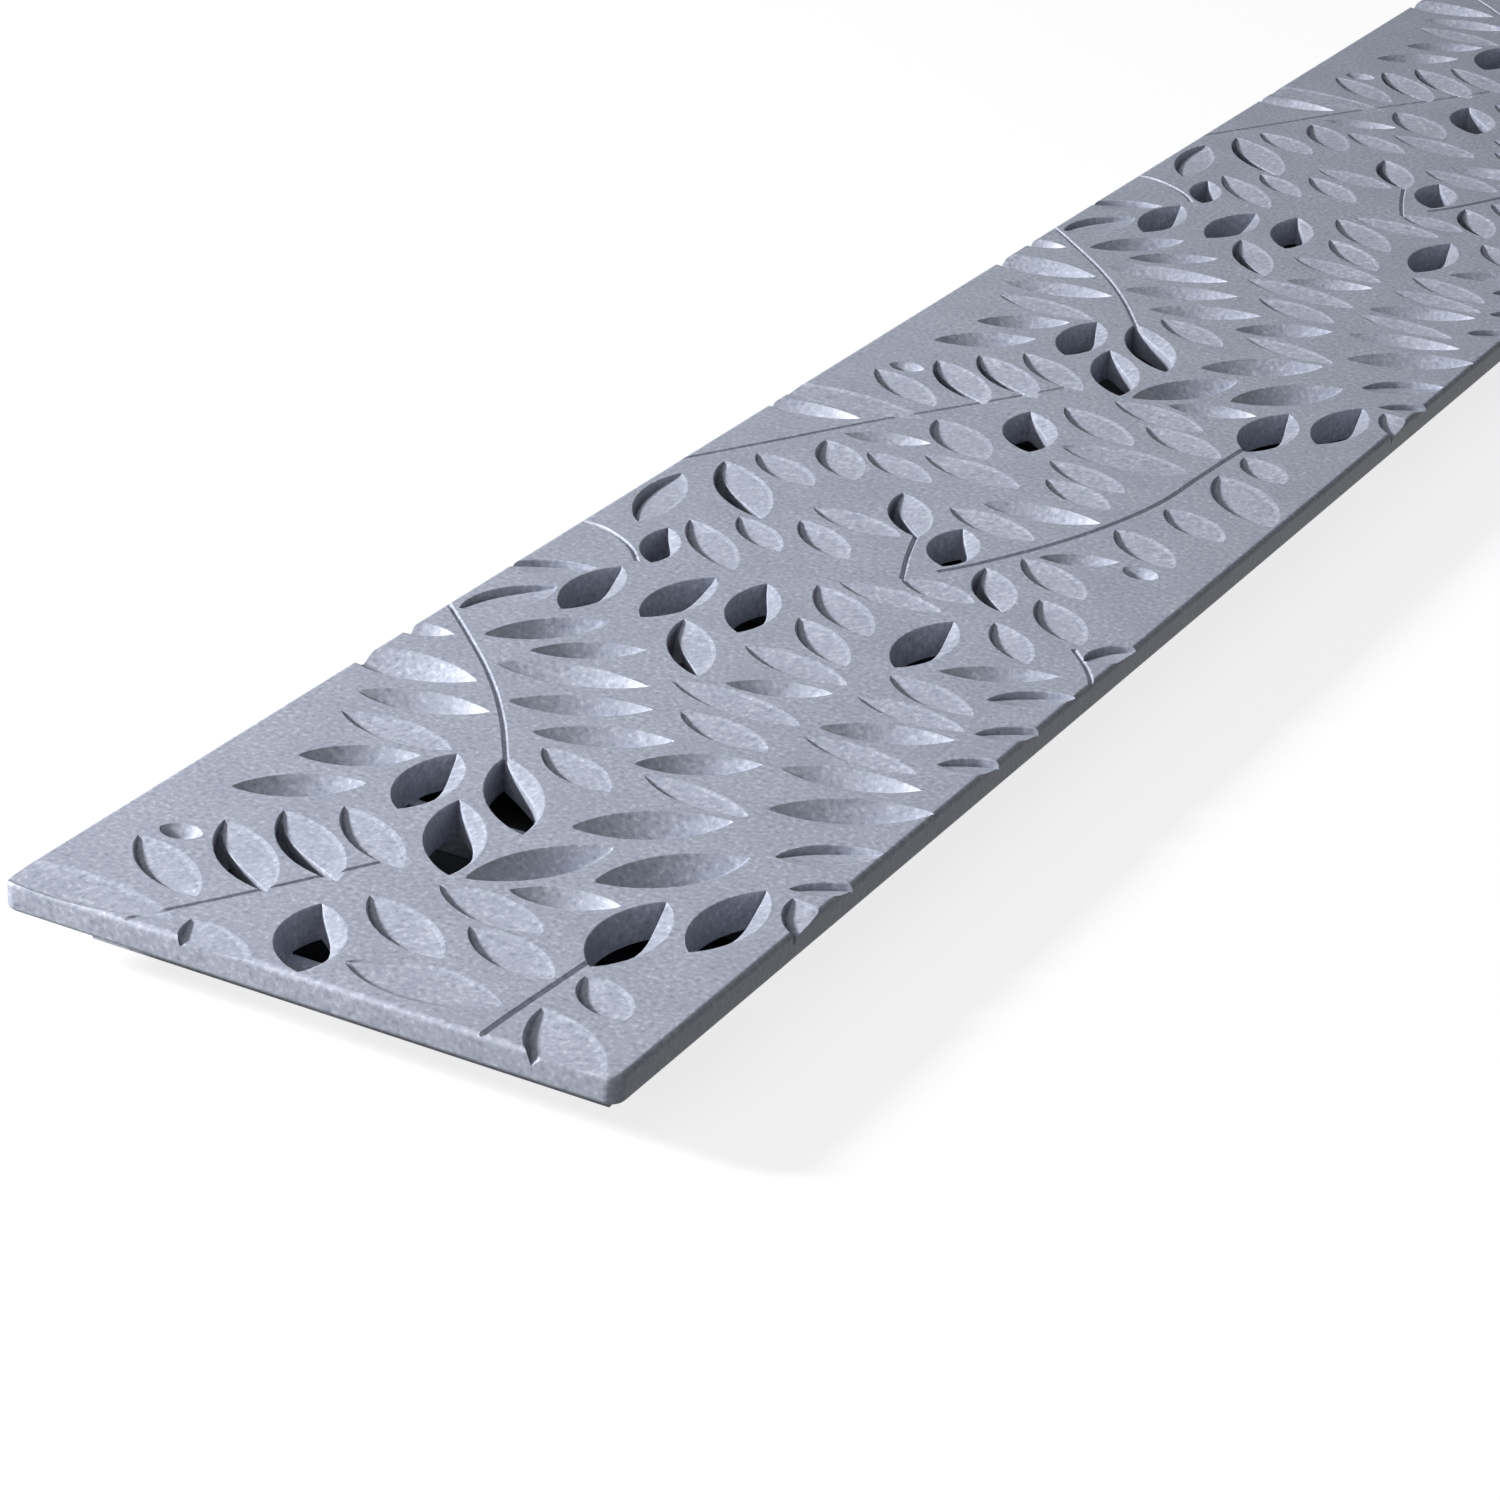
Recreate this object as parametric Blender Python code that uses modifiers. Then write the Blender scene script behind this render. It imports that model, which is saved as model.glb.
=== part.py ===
"""Channel drain grate: one moulded plate, pierced and carved with leaves on curved stems.

Units are metres and +Z is up. The origin is the middle of the footprint, on the plane that the
grate stands on. X runs across the grate and Y along it, away from the near end.
"""
import math

import bmesh
import bpy
from mathutils import Vector

# The plate
GRATE_LENGTH = 0.6096
GRATE_WIDTH = 0.104775
DECK_THICKNESS = 0.0048
CORNER_RADIUS = 0.0025
CORNER_STEPS = 3
EDGE_RADIUS = 0.0010
EDGE_STEPS = 2
FOOT_CHAMFER = 0.0004

# The rib frame under the plate: a skirt that drops into the channel, and cross ribs
SKIRT_DEPTH = 0.0079
SKIRT_THICKNESS = 0.0026
LIP_OVERHANG = 0.0080
END_OVERHANG = 0.0120
RIB_THICKNESS = 0.0022
RIB_PITCH = 0.0508
RIB_DRAFT = math.radians(1.5)
FUSE_DEPTH = 0.0003
# Inside the skirt the plate is thicker than its lip
BODY_THICKNESS = 0.0060

# The leaf pattern, which repeats along the grate
PATTERN_REPEATS = 2.5
PATTERN_PITCH = GRATE_LENGTH / PATTERN_REPEATS
POCKET_DEPTH = 0.0032
SCOOP_DEPTH = 0.0032
BUD_DEPTH = 0.0022
SLOT_RAMP_DEPTH = 0.0030
HOLE_RAMP_DEPTH = 0.0033
STEM_GROOVE_WIDTH = 0.0011
STEM_PATH_RISE = 0.0002
CUTTER_RISE = 0.0010
LEAF_STEPS = 6
STEM_STEPS = 2
STEM_WELD = 0.00001
# Two heights count as the same when they differ by less than this
FLUSH = 0.00001
# A bevel of this profile is a circular arc
ROUND_PROFILE = 0.5

PLASTIC_COLOUR = (0.35, 0.37, 0.44, 1.0)
PLASTIC_ROUGHNESS = 0.5

# Where a leaf's ramp ends: 0 on its axis, 1 on the rim of its steep side
POCKET_SHIFT = 0.72
SCOOP_SHIFT = 0.12
SLOT_SHIFT = 0.0
HOLE_SHIFT = -0.10
# How far the lowest point leans towards the first tip: 1 is midway, lower is nearer the tip
POCKET_LEAN = 0.72
SCOOP_LEAN = 0.72
SLOT_LEAN = 0.8
HOLE_LEAN = 0.9
# How full the deepest line is towards the tips (lower is fuller), and the steep wall's draft
FULLNESS = 0.5
WALL_DRAFT = 0.96

DECK_TOP = SKIRT_DEPTH + DECK_THICKNESS
CUTTER_TOP = DECK_TOP + CUTTER_RISE
BAY_TOP = DECK_TOP - BODY_THICKNESS
CUTTER_FOOT = BAY_TOP - FUSE_DEPTH

# The leaves and stems below are drawn on a plate of this width and pattern length, in
# millimetres from its left edge and near end, and the real plate stretches the drawing.
DRAWN_WIDTH = 104.775
DRAWN_PITCH = 243.84
ACROSS_SCALE = GRATE_WIDTH / DRAWN_WIDTH
ALONG_SCALE = PATTERN_PITCH / DRAWN_PITCH
# Leaves are never wider than the tighter stretch allows, so that they stay clear of each other
LEAF_WIDTH_SCALE = min(ACROSS_SCALE, ALONG_SCALE)

# Leaves of one pattern length: the two tips and the width. Travelling from the first tip to
# the second, the steep side is on the right hand. Pockets have a sloping floor.
POCKETS = [
    (8.1, 23, 26.7, 11.6, 7.6), (28.1, 48.6, 46.5, 36, 7.3), (47.3, 26.2, 66.4, 15.6, 8),
    (53.9, 34.9, 74.5, 30.5, 8), (64.4, 26.3, 82.8, 19.4, 8), (86, 22.8, 97.2, 14.8, 7.2),
    (30, 5.6, 46.6, -7.4, 9.8), (85.6, 11.4, 103.5, -6.1, 10.5), (99.4, 60.9, 110.5, 49.3, 7),
    (9, 76.8, 31.3, 74.6, 7.2), (42.4, 83.7, 59.2, 76, 7.2), (60.7, 84, 81.3, 80.7, 6.1),
    (48.1, 166.3, 65.6, 152.1, 8.1), (52, 152.2, 67.9, 139, 6.9), (50.6, 169.6, 71.2, 168.4, 6.4),
    (49.9, 136.6, 71.6, 132.4, 7.2), (46.8, 117.4, 72.6, 114.2, 7.5), (53.8, 107.8, 72.6, 103, 7.3),
    (75.4, 140, 93.9, 133.9, 7), (74.7, 129.6, 95.4, 127.8, 6.1), (74.7, 111, 96, 109.2, 5.9),
    (80.4, 169.8, 92.5, 157.6, 6.2), (82.6, 183.4, 96.7, 169.7, 7.7), (58.6, 177.6, 74, 175.2, 6.4),
    (15.8, 178.9, 33.3, 163.5, 7.3), (22.3, 185.2, 35.8, 175.4, 6.3),
    (32.1, 190.2, 47.2, 179.3, 6.9), (31.2, 196.8, 50.3, 194.1, 7), (10.4, 214, 26.4, 205.9, 7.5),
    (17.7, 227.6, 31.3, 212.9, 8.3), (26.9, 226.6, 43.5, 220.1, 7), (36.3, 231.7, 57.9, 227.5, 8.2),
    (51.4, 211.5, 70.8, 206.4, 7.7), (59.9, 234.5, 75.9, 227.7, 7.1),
    (56.5, 242.9, 74.9, 236.4, 7.2), (80.5, 220, 96.4, 209.6, 7.8), (83.9, 234.5, 98.9, 226.1, 7.7),
    (72.3, 198, 89.2, 187.7, 7.7), (3.8, 197.2, 8.7, 172.5, 7.8), (11.8, 139.6, 2.9, 122, 7.8),
    (13.5, 150.5, -1.8, 141.6, 5.6), (105.8, 174.8, 99.6, 164.3, 6.3), (104, 81.6, 90.8, 71.2, 6.9),
    (108.3, 70.6, 97.4, 63.1, 4.1), (104.8, 150.5, 92.8, 140.8, 5.6),
    (108.1, 136.1, 96.9, 127.8, 5.2), (108.1, 120.7, 96.9, 114.2, 5.4),
]
# Slots pierce the plate between their axis and their steep side.
SLOTS = [
    (15.8, 34.5, 34.3, 18.7, 8.5), (21.3, 42.2, 40.9, 27.3, 8.7), (36.3, 140.3, 49.5, 121.3, 7.7),
    (68.8, 190.4, 79.7, 174.5, 7.4), (7.3, 207, 26.2, 186.7, 9.4), (41.3, 212.8, 52.8, 195.5, 7.6),
]
# Holes are wider slots, with a steeper ramp that ends short of their axis.
HOLES = [
    (42.9, 20.2, 51.6, 0.9, 10.1), (84.4, 49.3, 85.2, 25.6, 10), (95, 60.8, 94.8, 37.4, 9),
    (41.4, 60.5, 53.5, 38.2, 9.2), (39.3, 77.3, 55.6, 55.8, 8.9), (32.5, 74.1, 35.3, 52.4, 9.1),
    (16.5, 153.5, 17.2, 131.7, 8.7), (32.1, 158.8, 29.9, 136.6, 8.6),
    (40.7, 161.8, 46.4, 140.6, 8.7), (14.5, 173.3, 19.8, 157.9, 6.6), (74.4, 166.2, 74.7, 143.3, 9),
    (57.8, 203.9, 62.4, 186.4, 8.9),
]
# Scoops are dished along their length, deepest towards the first tip.
SCOOPS = [
    (55.3, 7.3, 81, 8.7, 10), (63.1, 39.2, 79.7, 44.3, 6.7), (55.8, 38.6, 69.2, 60.1, 9.5),
    (72.2, 48.4, 87.9, 68.7, 10.5), (60.1, 62, 80, 78, 10.2), (12.2, 59.4, 28.2, 70.3, 7.8),
    (10, 44.3, 26.6, 57.3, 8.3), (6.7, 84.6, 28.7, 90.1, 8.2), (81.9, 84.8, 104.4, 98.4, 9.4),
    (57, 86.8, 74.1, 98.2, 8), (37.8, 87.5, 58.5, 97.8, 8), (28.5, 95.2, 49.9, 106, 8),
    (19.1, 106.7, 44.8, 113.2, 8.2), (21.4, 114.1, 37.3, 125.6, 6.9), (11.9, 115.1, 26.6, 132, 8.3),
    (-5.6, 96.7, 20.9, 98.9, 10.6), (-4.5, 109.7, 8, 112.4, 5.2), (54.3, 121.6, 71.1, 128.3, 6.4),
    (81.2, 146.3, 98.9, 156.1, 6.4), (74.7, 115.6, 95.4, 123.9, 7.6),
    (76.7, 98.8, 99.1, 104.4, 7.6), (19, 232.4, 34.7, 237.7, 5.9), (54.9, 217.1, 77.2, 220.9, 8.1),
    (74.4, 200.2, 87.3, 206.5, 5.4), (-4, 238.6, 18.1, 241.1, 6.8),
]
# Buds are small scoops; the first is the shallow dish that runs out over the near left corner.
BUDS = [
    (-9, 5.6, 25.5, 4.8, 9.8), (9.1, 27.2, 16.1, 28.3, 5.3), (88.8, 204.8, 95.9, 203.9, 5.3),
]
# Stems are fine grooves, given by the points that each passes.
STEMS = [
    [(-1.3, 124.3), (9.1, 114.4), (21.6, 101.6), (31.3, 89.5), (40.3, 76.1)],
    [(-1.8, 166.9), (4.4, 166.7), (10.8, 163.7), (14.4, 160.8), (17.5, 157)],
    [(106.9, 152.5), (101.7, 161.2), (96.2, 167.7)],
    [(68.6, 194.7), (74.9, 209.2), (79.8, 225.1), (82.1, 237.2), (83, 252.7), (84.2, 270.7)],
    [(-1.3, 200.1), (10.3, 221.7), (20.7, 241.4), (32.5, 261.3), (44.8, 283.4)],
    [(52.2, 196.5), (55.2, 187.1), (59, 177.2)],
]


def clear_scene():
    """Removes every object, so that the script always starts from an empty scene."""
    for item in list(bpy.data.objects):
        bpy.data.objects.remove(item, do_unlink=True)


def new_collection(name):
    """Adds a collection to the scene and returns it."""
    collection = bpy.data.collections.new(name)
    bpy.context.scene.collection.children.link(collection)
    return collection


def object_from_bmesh(name, bm, collection):
    """Turns a bmesh into a named object in a collection."""
    bmesh.ops.recalc_face_normals(bm, faces=bm.faces[:])
    mesh = bpy.data.meshes.new(name)
    bm.to_mesh(mesh)
    bm.free()
    item = bpy.data.objects.new(name, mesh)
    collection.objects.link(item)
    return item


def as_cutter(item):
    """Marks an object as a tool shape that is not part of the grate."""
    item.hide_render = True
    item.display_type = 'WIRE'
    return item


def add_box(bm, size, centre):
    """Adds a box to a bmesh and returns its vertices."""
    verts = bmesh.ops.create_cube(bm, size=1.0)["verts"]
    bmesh.ops.scale(bm, vec=Vector(size), verts=verts)
    bmesh.ops.translate(bm, vec=Vector(centre), verts=verts)
    return verts


def add_boolean(target, tool, operation):
    """Adds an exact Boolean modifier."""
    modifier = target.modifiers.new(f"{operation.lower()}_{tool.name}", 'BOOLEAN')
    modifier.operation = operation
    modifier.solver = 'EXACT'
    modifier.object = tool


def add_array(item, name, count, pitch):
    """Repeats an object along the grate."""
    array = item.modifiers.new(name, 'ARRAY')
    array.count = count
    array.use_relative_offset = False
    array.use_constant_offset = True
    array.constant_offset_displace = (0.0, pitch, 0.0)


def pattern_point(x_mm, y_mm):
    """Turns the drawing's millimetres into a point of the plate's frame."""
    return Vector((x_mm * ACROSS_SCALE - GRATE_WIDTH / 2, y_mm * ALONG_SCALE - GRATE_LENGTH / 2))


def add_pattern_array(item):
    """Repeats one pattern length along the grate, starting with a copy before its near end."""
    item.location.y -= PATTERN_PITCH
    add_array(item, "pattern_repeat", math.ceil(PATTERN_REPEATS) + 1, PATTERN_PITCH)


def make_deck(collection):
    """The plate itself: rounded corners and top edge, and a fine chamfer round its underside."""
    bm = bmesh.new()
    middle = DECK_TOP - DECK_THICKNESS / 2
    add_box(bm, (GRATE_WIDTH, GRATE_LENGTH, DECK_THICKNESS), (0, 0, middle))
    uprights = [edge for edge in bm.edges if edge.verts[0].co.xy == edge.verts[1].co.xy]
    bmesh.ops.bevel(
        bm, geom=uprights, offset=CORNER_RADIUS, segments=CORNER_STEPS, profile=ROUND_PROFILE, affect='EDGES')
    rim = [edge for edge in bm.edges if min(vert.co.z for vert in edge.verts) > middle]
    bmesh.ops.bevel(
        bm, geom=rim, offset=EDGE_RADIUS, segments=EDGE_STEPS, profile=ROUND_PROFILE, affect='EDGES')
    foot = [edge for edge in bm.edges if max(vert.co.z for vert in edge.verts) < SKIRT_DEPTH + FLUSH]
    bmesh.ops.bevel(bm, geom=foot, offset=FOOT_CHAMFER, segments=1, profile=ROUND_PROFILE, affect='EDGES')
    for vert in bm.verts:
        if vert.co.z > DECK_TOP - FLUSH:
            vert.co.z = DECK_TOP
    return object_from_bmesh("grate", bm, collection)


def floor_profile(share, lean):
    """Depth along a leaf's deepest line, from 0 at the tips to 1, at a share of its length."""
    return math.sin(math.pi * share ** lean) ** FULLNESS


def carved_section(depth, shift, lean):
    """The section of a leaf with a floor, and the heights at which its lines run out at the tips.

    The section is a function of the leaf's half width and of the share of its length.
    """
    def section(half, share):
        floor = DECK_TOP - depth * floor_profile(share, lean)
        return [(half, CUTTER_TOP), (half, DECK_TOP), (half * shift, floor), (-half, DECK_TOP),
                (-half, CUTTER_TOP)]
    return section, (CUTTER_TOP, DECK_TOP, DECK_TOP, DECK_TOP, CUTTER_TOP)


def pierced_section(depth, shift, lean):
    """The same for a leaf that is open beside its ramp, through the plate's whole thickness."""
    def section(half, share):
        edge = DECK_TOP - depth * floor_profile(share, lean)
        return [(half, CUTTER_TOP), (half, DECK_TOP), (half * WALL_DRAFT, CUTTER_FOOT),
                (half * shift, CUTTER_FOOT), (half * shift, edge), (-half, DECK_TOP),
                (-half, CUTTER_TOP)]
    return section, (CUTTER_TOP, DECK_TOP, CUTTER_FOOT, CUTTER_FOOT, DECK_TOP, DECK_TOP, CUTTER_TOP)


def add_leaf(bm, leaf, section, tip_heights):
    """Adds one leaf cutter: a pointed oval in plan, lofted through its sections.

    section gives the points round the cutter as (across, height), and tip_heights the
    height at which each of them runs out at both tips.
    """
    x_start, y_start, x_end, y_end, width_mm = leaf
    start = pattern_point(x_start, y_start)
    end = pattern_point(x_end, y_end)
    along = (end - start).normalized()
    across = Vector((along.y, -along.x))
    half_length = (end - start).length / 2
    half_width = width_mm * LEAF_WIDTH_SCALE / 2
    half_angle = 2 * math.atan2(half_width, half_length)
    radius = half_length / math.sin(half_angle)
    middle = (start + end) / 2

    def vertex(along_by, across_by, height):
        point = middle + along * along_by + across * across_by
        return bm.verts.new((point.x, point.y, height))

    rows = []
    for step in range(1, LEAF_STEPS):
        angle = half_angle * (2 * step / LEAF_STEPS - 1)
        reach = radius * math.sin(angle)
        half = radius * (math.cos(angle) - math.cos(half_angle))
        share = (reach + half_length) / (2 * half_length)
        rows.append([vertex(reach, *point) for point in section(half, share)])
    count = len(tip_heights)
    for sign, row in ((-1, rows[0]), (1, rows[-1])):
        tips = {height: vertex(sign * half_length, 0.0, height) for height in sorted(set(tip_heights))}
        for index in range(count):
            follower = (index + 1) % count
            corners = [tips[tip_heights[index]], row[index], row[follower]]
            if tip_heights[follower] != tip_heights[index]:
                corners.append(tips[tip_heights[follower]])
            bm.faces.new(corners)
    for row, next_row in zip(rows, rows[1:]):
        for index in range(count):
            follower = (index + 1) % count
            bm.faces.new((row[index], next_row[index], next_row[follower], row[follower]))


def make_leaf_cutter(collection):
    """Every leaf of one pattern length, repeated along the grate."""
    bm = bmesh.new()
    kinds = (
        (POCKETS, carved_section(POCKET_DEPTH, POCKET_SHIFT, POCKET_LEAN)),
        (SLOTS, pierced_section(SLOT_RAMP_DEPTH, SLOT_SHIFT, SLOT_LEAN)),
        (HOLES, pierced_section(HOLE_RAMP_DEPTH, HOLE_SHIFT, HOLE_LEAN)),
        (SCOOPS, carved_section(SCOOP_DEPTH, SCOOP_SHIFT, SCOOP_LEAN)),
        (BUDS, carved_section(BUD_DEPTH, SCOOP_SHIFT, SCOOP_LEAN)),
    )
    for leaves, (section, tip_heights) in kinds:
        for leaf in leaves:
            add_leaf(bm, leaf, section, tip_heights)
    cutter = as_cutter(object_from_bmesh("leaf_cutter", bm, collection))
    add_pattern_array(cutter)
    return cutter


def make_stem_cutter(collection):
    """The stems' grooves: four-sided wires, point down, lying in the top face."""
    curve = bpy.data.curves.new("stem_path", 'CURVE')
    curve.dimensions = '3D'
    curve.bevel_depth = STEM_GROOVE_WIDTH / 2 + STEM_PATH_RISE
    curve.bevel_resolution = 0
    curve.resolution_u = STEM_STEPS
    curve.use_fill_caps = True
    for points in STEMS:
        spline = curve.splines.new('BEZIER')
        spline.bezier_points.add(len(points) - 1)
        for bezier, (x_mm, y_mm) in zip(spline.bezier_points, points):
            place = pattern_point(x_mm, y_mm)
            bezier.co = (place.x, place.y, DECK_TOP + STEM_PATH_RISE)
            bezier.handle_left_type = 'AUTO'
            bezier.handle_right_type = 'AUTO'
    path = bpy.data.objects.new("stem_path", curve)
    collection.objects.link(path)
    bpy.context.view_layer.update()
    evaluated = path.evaluated_get(bpy.context.evaluated_depsgraph_get())
    mesh = bpy.data.meshes.new_from_object(evaluated)
    bm = bmesh.new()
    bm.from_mesh(mesh)
    bmesh.ops.remove_doubles(bm, verts=bm.verts[:], dist=STEM_WELD)
    bpy.data.objects.remove(path, do_unlink=True)
    cutter = as_cutter(object_from_bmesh("stem_cutter", bm, collection))
    add_pattern_array(cutter)
    return cutter


def make_rib_frame(collection):
    """The frame under the plate: a block of the skirt's outline, hollowed into bays from below."""
    frame_width = GRATE_WIDTH - 2 * LIP_OVERHANG
    frame_length = GRATE_LENGTH - 2 * END_OVERHANG
    frame_height = SKIRT_DEPTH + FUSE_DEPTH
    narrowing = SKIRT_DEPTH * math.tan(RIB_DRAFT)
    bm = bmesh.new()
    verts = add_box(bm, (frame_width, frame_length, frame_height), (0, 0, frame_height / 2))
    for vert in verts:
        if vert.co.z < frame_height / 2:
            vert.co.x -= math.copysign(narrowing, vert.co.x)
            vert.co.y -= math.copysign(narrowing, vert.co.y)
    frame = as_cutter(object_from_bmesh("rib_frame", bm, collection))

    clear_length = frame_length - 2 * SKIRT_THICKNESS + RIB_THICKNESS
    bays = max(1, round(clear_length / RIB_PITCH))
    bay_pitch = clear_length / bays
    bay_width = frame_width - 2 * SKIRT_THICKNESS
    bay_length = bay_pitch - RIB_THICKNESS
    bay_height = BAY_TOP + CUTTER_RISE
    first_bay = -frame_length / 2 + SKIRT_THICKNESS + bay_length / 2
    bay_middle = BAY_TOP - bay_height / 2
    bm = bmesh.new()
    verts = add_box(bm, (bay_width, bay_length, bay_height), (0, first_bay, bay_middle))
    for vert in verts:
        if vert.co.z < bay_middle:
            vert.co.x += math.copysign(narrowing / 2, vert.co.x)
            vert.co.y += math.copysign(narrowing / 2, vert.co.y - first_bay)
    bay = as_cutter(object_from_bmesh("bay_cutter", bm, collection))
    add_array(bay, "bay_repeat", bays, bay_pitch)
    add_boolean(frame, bay, 'DIFFERENCE')
    return frame


def make_material():
    """Blue-grey moulded plastic with a slight sheen."""
    material = bpy.data.materials.new("grate_plastic")
    material.use_nodes = True
    shader = material.node_tree.nodes["Principled BSDF"]
    shader.inputs["Base Color"].default_value = PLASTIC_COLOUR
    shader.inputs["Roughness"].default_value = PLASTIC_ROUGHNESS
    shader.inputs["Metallic"].default_value = 0.0
    return material


def main():
    """Builds the grate and leaves its cutters beside it."""
    clear_scene()
    parts = new_collection("channel_drain_grate")
    cutters = new_collection("cutters")
    grate = make_deck(parts)
    add_boolean(grate, make_stem_cutter(cutters), 'DIFFERENCE')
    add_boolean(grate, make_rib_frame(cutters), 'UNION')
    add_boolean(grate, make_leaf_cutter(cutters), 'DIFFERENCE')
    grate.data.materials.append(make_material())


main()
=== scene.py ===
"""A moulded channel drain grate, carved with leaves on curved stems, in a plain studio.

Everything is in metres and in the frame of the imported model: X runs across the grate, Y along
it away from the near end, and Z up from the plane that the grate stands on.
"""
from __future__ import annotations

import logging
import math
from collections.abc import Callable, Sequence
from dataclasses import dataclass
from enum import Enum

import bmesh
import bpy
from mathutils import Matrix, Vector

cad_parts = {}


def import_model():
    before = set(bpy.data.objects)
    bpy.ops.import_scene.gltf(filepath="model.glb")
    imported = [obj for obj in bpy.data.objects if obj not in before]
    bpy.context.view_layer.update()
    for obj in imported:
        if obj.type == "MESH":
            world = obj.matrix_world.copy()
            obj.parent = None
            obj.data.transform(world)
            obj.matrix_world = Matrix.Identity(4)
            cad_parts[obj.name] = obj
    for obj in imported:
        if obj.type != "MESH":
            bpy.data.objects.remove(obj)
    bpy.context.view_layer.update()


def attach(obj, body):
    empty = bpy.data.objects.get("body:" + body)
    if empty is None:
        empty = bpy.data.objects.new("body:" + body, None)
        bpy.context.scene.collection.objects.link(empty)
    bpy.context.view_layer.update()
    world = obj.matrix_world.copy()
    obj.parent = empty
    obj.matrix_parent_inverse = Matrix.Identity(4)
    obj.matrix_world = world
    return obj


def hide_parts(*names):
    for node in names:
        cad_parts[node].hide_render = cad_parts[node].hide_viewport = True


LOG = logging.getLogger("channel_grate")

MM = 0.001
ROOT_BODY = "root"
GRATE_NODE = "grate"
PLASTIC_SLOT = "grate_plastic"

# Leaves of one pattern length, in millimetres from the plate's left edge and near end: the two
# tips and the width. From the first tip to the second, the steep side is on the right hand.
POCKET_LEAVES = [
    (8.1, 23, 26.7, 11.6, 7.6), (28.1, 48.6, 46.5, 36, 7.3), (47.3, 26.2, 66.4, 15.6, 8),
    (53.9, 34.9, 74.5, 30.5, 8), (64.4, 26.3, 82.8, 19.4, 8), (86, 22.8, 97.2, 14.8, 7.2),
    (30, 5.6, 46.6, -7.4, 9.8), (85.6, 11.4, 103.5, -6.1, 10.5), (99.4, 60.9, 110.5, 49.3, 7),
    (9, 76.8, 31.3, 74.6, 7.2), (42.4, 83.7, 59.2, 76, 7.2), (60.7, 84, 81.3, 80.7, 6.1),
    (48.1, 166.3, 65.6, 152.1, 8.1), (52, 152.2, 67.9, 139, 6.9), (50.6, 169.6, 71.2, 168.4, 6.4),
    (49.9, 136.6, 71.6, 132.4, 7.2), (46.8, 117.4, 72.6, 114.2, 7.5), (53.8, 107.8, 72.6, 103, 7.3),
    (75.4, 140, 93.9, 133.9, 7), (74.7, 129.6, 95.4, 127.8, 6.1), (74.7, 111, 96, 109.2, 5.9),
    (80.4, 169.8, 92.5, 157.6, 6.2), (82.6, 183.4, 96.7, 169.7, 7.7), (58.6, 177.6, 74, 175.2, 6.4),
    (15.8, 178.9, 33.3, 163.5, 7.3), (22.3, 185.2, 35.8, 175.4, 6.3),
    (32.1, 190.2, 47.2, 179.3, 6.9), (31.2, 196.8, 50.3, 194.1, 7), (10.4, 214, 26.4, 205.9, 7.5),
    (17.7, 227.6, 31.3, 212.9, 8.3), (26.9, 226.6, 43.5, 220.1, 7), (36.3, 231.7, 57.9, 227.5, 8.2),
    (51.4, 211.5, 70.8, 206.4, 7.7), (59.9, 234.5, 75.9, 227.7, 7.1),
    (56.5, 243.3, 74.9, 236.8, 7.1), (80.5, 220, 96.4, 209.6, 7.8), (83.9, 234.5, 98.9, 226.1, 7.7),
    (72.3, 198, 89.2, 187.7, 7.7), (3.8, 197.2, 8.7, 172.5, 7.8), (11.8, 139.6, 2.9, 122, 7.8),
    (13.5, 150.5, -1.8, 141.6, 5.6), (105.8, 174.8, 99.6, 164.3, 6.3), (104, 81.6, 90.8, 71.2, 6.9),
    (108.3, 70.6, 97.4, 63.1, 4.1), (104.8, 150.5, 92.8, 140.8, 5.6),
    (108.1, 136.1, 96.9, 127.8, 5.2), (108.1, 120.7, 96.9, 114.2, 5.4),
]
SLOT_LEAVES = [
    (15.8, 34.5, 34.3, 18.7, 8.5), (21.3, 42.2, 40.9, 27.3, 8.7), (36.3, 140.3, 49.5, 121.3, 7.7),
    (68.8, 190.4, 79.7, 174.5, 7.4), (7.3, 207, 26.2, 186.7, 9.4), (41.3, 212.8, 52.8, 195.5, 7.6),
]
HOLE_LEAVES = [
    (42.9, 20.2, 51.6, 0.9, 10.1), (84.4, 49.3, 85.2, 25.6, 10), (95, 60.8, 94.8, 37.4, 9),
    (41.4, 60.5, 53.5, 38.2, 9.2), (39.3, 77.3, 55.6, 55.8, 8.9), (32.5, 74.1, 35.3, 52.4, 9.1),
    (16.5, 153.5, 17.2, 131.7, 8.7), (32.1, 158.8, 29.9, 136.6, 8.6),
    (40.7, 161.8, 46.4, 140.6, 8.7), (14.5, 173.3, 19.8, 157.9, 6.6), (74.4, 166.2, 74.7, 143.3, 9),
    (57.8, 203.9, 62.4, 186.4, 8.9),
]
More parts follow.
